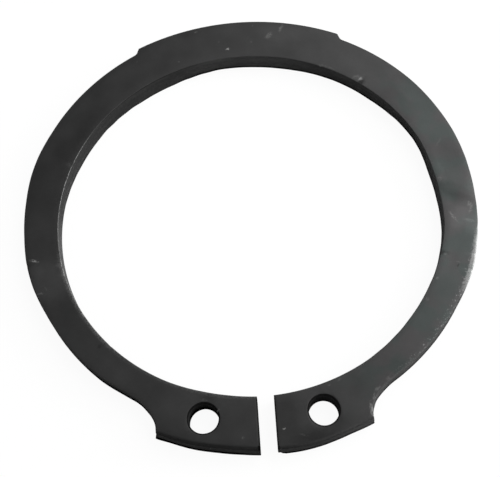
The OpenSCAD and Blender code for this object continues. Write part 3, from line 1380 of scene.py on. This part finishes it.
class Surface:
    """Where a shaded point lies on the ring, in millimetres and degrees."""

    ALONG_PER_DEGREE = 0.32
    NEAR_BORE = (0.9, 0.5)
    BY_HOLE = (0.32, 0.22)
    BY_GAP = (0.25, 0.12)
    IN_FRONT = (0.0, -1.0)
    UNEVENNESS = 0.5
    UNEVEN_SCALE = 2.5
    UNEVEN_DETAIL = 3.0
    SPOT_FADE = (0.0, 0.7)
    NO_EDGE = 100.0

    def __init__(self, shader: Shader, ring: Stamping) -> None:
        """Works the places out once, for all the masks that need them.

        Args:
            shader: The material's nodes.
            ring: The ring whose sizes they follow.
        """
        self.shader = shader
        self.place = shader.scaled(shader.node("ShaderNodeTexCoord", {}, {}).outputs["Object"], 1 / MM)
        self.bore_r = ring.bore_r / MM
        apart = shader.node("ShaderNodeSeparateXYZ", {}, {0: self.place})
        x, y, self.height = (Value(shader, socket) for socket in apart.outputs)
        self.depth = ring.thick / MM - self.height
        self.angle = shader.math("ARCTAN2", x * -1.0, y) * (180 / math.pi) + 90.0
        self.from_bore = self.length(x, y) - self.bore_r
        self.near_bore = self.from_bore.between(*self.NEAR_BORE)
        self.from_rim = ring.beam_r / MM - self.length(x, y - ring.beam_centre.y / MM)
        self.by_opening = self.by_holes(ring, x, y).largest(self.by_gap(ring, x, y))
        unrolled = {"X": self.angle * self.ALONG_PER_DEGREE, "Y": self.height, "Z": self.from_bore}
        self.unrolled = shader.node("ShaderNodeCombineXYZ", {}, unrolled).outputs[0]
        self.uneven_place = self.unevenly_moved()

    @staticmethod
    def length(x: Value, y: Value) -> Value:
        """Returns the length of a line in the plan."""
        return (x * x + y * y) ** 0.5

    def by_holes(self, ring: Stamping, x: Value, y: Value) -> Value:
        """Masks the inside of the plier holes and the face beside them.

        Args:
            ring: The ring whose holes they are.
            x: The shaded point's place from side to side.
            y: Its place from front to back.

        Returns:
            The mask, from 0 to 1.
        """
        hole_x, hole_y, hole_r = (size / MM for size in (ring.hole_x, ring.hole_y, ring.hole_r))
        from_hole = self.length(abs(x) - hole_x, y - hole_y)
        start, full = self.BY_HOLE
        return from_hole.between(hole_r + start, hole_r + full)

    def by_gap(self, ring: Stamping, x: Value, y: Value) -> Value:
        """Masks the inside of the gap and the face beside it.

        Args:
            ring: The ring whose gap it is.
            x: The shaded point's place from side to side.
            y: Its place from front to back.

        Returns:
            The mask, from 0 to 1.
        """
        centre = (ring.gap_right + ring.gap_left) / 2 / MM
        half = (ring.gap_right - ring.gap_left) / 2 / MM
        start, full = self.BY_GAP
        return abs(x - centre).between(half + start, half + full) * y.between(*self.IN_FRONT)

    def unevenly_moved(self) -> Socket:
        """Moves the place a little by a noise, which gives the marks uneven outlines.

        Returns:
            The moved place.
        """
        wander = {"Vector": self.place, "Scale": self.UNEVEN_SCALE, "Detail": self.UNEVEN_DETAIL}
        lumps = self.shader.node("ShaderNodeTexNoise", {}, wander).outputs["Color"]
        inputs = {0: lumps, 1: (self.UNEVENNESS, self.UNEVENNESS, 0.0), 2: self.place}
        moved = self.shader.node("ShaderNodeVectorMath", {"operation": "MULTIPLY_ADD"}, inputs)
        return moved.outputs[0]

    def window(self, sector: Sector) -> Value:
        """Returns a mask that is 1 in a sector, and fades at its ends."""
        start, full, fading, end = sector
        return self.angle.between(start, full) * self.angle.between(end, fading)

    def painted_shades(self, painted_shades: Iterable[PaintedShade]) -> Value:
        """Returns the sum of some sectors of painted light and shade."""
        return Value.sum(self.window(shade.sector) * shade.strength for shade in painted_shades)

    def noise(self, pattern: Pattern) -> Value:
        """Lays a noise pattern over the surface.

        Args:
            pattern: The pattern's sizes.

        Returns:
            The noise, about 0.5 in the middle.
        """
        mapped = self.shader.node(
            "ShaderNodeMapping",
            {"vector_type": "POINT"},
            {
                "Vector": self.unrolled if pattern.along else self.place,
                "Location": (pattern.shift, pattern.shift, pattern.shift),
                "Scale": (pattern.along or 1.0, 1.0, 1.0),
            },
        )
        inputs = {
            "Vector": mapped.outputs[0],
            "Scale": pattern.scale,
            "Detail": pattern.detail,
            "Roughness": pattern.roughness,
        }
        return self.shader.value("ShaderNodeTexNoise", {}, inputs)

    def spots(self, marks: Iterable[Mark]) -> list[Value]:
        """Returns a soft spot for each of some marks, as strong as the mark."""
        return [self.spot(mark) * mark.strength for mark in marks]

    def spot(self, mark: Mark) -> Value:
        """Makes a soft spot with the place, size and turn of a mark, and an uneven outline.

        Args:
            mark: The mark.

        Returns:
            The spot, from 0 to 1.
        """
        centre = turned(self.bore_r + mark.from_bore, mark.angle)
        turn = mark.angle + 90 if mark.turn is None else mark.turn
        aside = self.UNEVENNESS / 2
        mapped = self.shader.node(
            "ShaderNodeMapping",
            {"vector_type": "TEXTURE"},
            {
                "Vector": self.uneven_place,
                "Location": (centre.x + aside, centre.y + aside, 0.0),
                "Rotation": (0.0, 0.0, math.radians(turn)),
                "Scale": (mark.along, mark.across, self.NO_EDGE),
            },
        )
        sphere = {"gradient_type": "SPHERICAL"}
        spot = self.shader.value("ShaderNodeTexGradient", sphere, {0: mapped.outputs[0]})
        return spot.between(*self.SPOT_FADE)


# ---------------------------------------------------------------- floor, lights and camera


@dataclass(frozen=True)
class Softbox:
    """A square lamp that shines at the ring's middle."""

    name: str
    azimuth: float
    elevation: float
    distance: float
    size: float
    radiance: float

    def build(self) -> None:
        """Adds the lamp, with a power that gives its face the radiance asked for."""
        lamp = bpy.data.lights.new(self.name, "AREA")
        lamp.shape = "SQUARE"
        lamp.size = self.size
        lamp.energy = self.radiance * math.pi * self.size**2
        direction = turned(1.0, self.azimuth) * math.cos(math.radians(self.elevation))
        direction.z = math.sin(math.radians(self.elevation))
        facing = direction.to_track_quat("Z", "Y").to_matrix().to_4x4()
        holder = bpy.data.objects.new(self.name, lamp)
        holder.matrix_world = Matrix.Translation(direction * self.distance) @ facing
        bpy.context.scene.collection.objects.link(holder)


@dataclass
class Studio:
    """The plain pale floor, the soft lights and the camera."""

    floor_size: float = 3.0
    floor_sides: int = 96
    wall_height: float = 0.5
    azimuth: float = 1.23
    elevation: float = 62.82
    roll: float = -5.30
    distance: float = 88.1 * MM
    aim: tuple[float, float, float] = (-0.16 * MM, -2.10 * MM, 0.0)
    lens: float = 66.39
    matt: Colour = (0.9, 0.9, 0.9)
    ambient: float = 0.41
    glow: float = 0.935
    shadow: float = 0.075
    softboxes: tuple[Softbox, ...] = (
        Softbox("key_softbox", 15.0, 45.0, 0.30, 0.30, 1.87),
        Softbox("side_softbox", 60.0, 45.0, 0.40, 0.30, 1.00),
        Softbox("low_softbox", 12.0, 16.0, 0.35, 0.14, 13.5),
    )

    def build(self) -> None:
        """Builds the floor, the lights and the camera."""
        self.build_floor()
        self.build_world()
        for softbox in self.softboxes:
            softbox.build()
        self.build_camera()

    def build_floor(self) -> None:
        """Lays the floor and stands a low round backdrop on its edge."""
        radius = self.floor_size / 2
        leave_edit_mode()
        bpy.ops.mesh.primitive_circle_add(
            vertices=self.floor_sides, radius=radius, fill_type="NGON"
        )
        floor = bpy.context.object
        floor.name = floor.data.name = "floor"
        bpy.ops.mesh.primitive_cylinder_add(
            vertices=self.floor_sides, radius=radius, depth=self.wall_height,
            end_fill_type="NOTHING", location=(0, 0, self.wall_height / 2),
        )
        backdrop = bpy.context.object
        backdrop.name = backdrop.data.name = "backdrop"
        make_active(backdrop)
        bpy.ops.object.transform_apply(location=True, rotation=False, scale=False)
        white = self.white_matt()
        for stage in (floor, backdrop):
            stage.data.materials.append(white)
            report(stage)

    def white_matt(self) -> bpy.types.Material:
        """Makes the stage's material, which looks white and keeps a faint shadow of the ring.

        Returns:
            The material.
        """
        material = bpy.data.materials.new("pale_stage")
        shader = Shader(material)
        rays = shader.node("ShaderNodeLightPath", {}, {}).outputs
        camera, glossy, through = (
            Value(shader, rays[f"Is {name} Ray"]) for name in ("Camera", "Glossy", "Transmission")
        )
        seen = camera.largest(glossy).largest(through)
        matt_colour = shader.mix(self.matt, (self.shadow, self.shadow, self.shadow), seen)
        matt = shader.node("ShaderNodeBsdfDiffuse", {}, {"Color": matt_colour})
        white = shader.node("ShaderNodeEmission", {}, {"Color": WHITE, "Strength": seen * self.glow})
        both = shader.node("ShaderNodeAddShader", {}, {0: matt.outputs[0], 1: white.outputs[0]})
        shader.node("ShaderNodeOutputMaterial", {}, {"Surface": both.outputs[0]})
        return material

    def build_world(self) -> None:
        """Surrounds everything with even light."""
        world = bpy.data.worlds.new("room")
        bpy.context.scene.world = world
        shader = Shader(world)
        light = shader.node("ShaderNodeBackground", {}, {"Color": WHITE, "Strength": self.ambient})
        shader.node("ShaderNodeOutputWorld", {}, {"Surface": light.outputs[0]})

    def build_camera(self) -> None:
        """Adds the camera, which looks down at the ring from the side of its gap."""
        data = bpy.data.cameras.new("camera")
        data.lens = self.lens
        data.clip_start = MM
        back = turned(math.cos(math.radians(self.elevation)), self.azimuth - 90)
        back.z = math.sin(math.radians(self.elevation))
        right = turned(1.0, self.azimuth)
        level = Matrix((right, back.cross(right), back)).transposed()
        rolled = level @ Matrix.Rotation(math.radians(self.roll), 3, "Z")
        camera = bpy.data.objects.new("camera", data)
        place = Vector(self.aim) + back * self.distance
        camera.matrix_world = Matrix.Translation(place) @ rolled.to_4x4()
        bpy.context.scene.collection.objects.link(camera)
        bpy.context.scene.camera = camera


def main() -> None:
    """Builds the ring, its floor, lights and camera, in that order."""
    logging.basicConfig(level=logging.INFO, format="%(name)s: %(message)s")
    bpy.context.scene.view_settings.view_transform = "Standard"
    stamping = Stamping()
    ring = stamping.build()
    ring.data.materials.append(BlackSteel().material(stamping))
    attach(ring, "root")
    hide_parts("retaining_ring")
    report(ring)
    Studio().build()


if __name__ == "__main__":
    main()
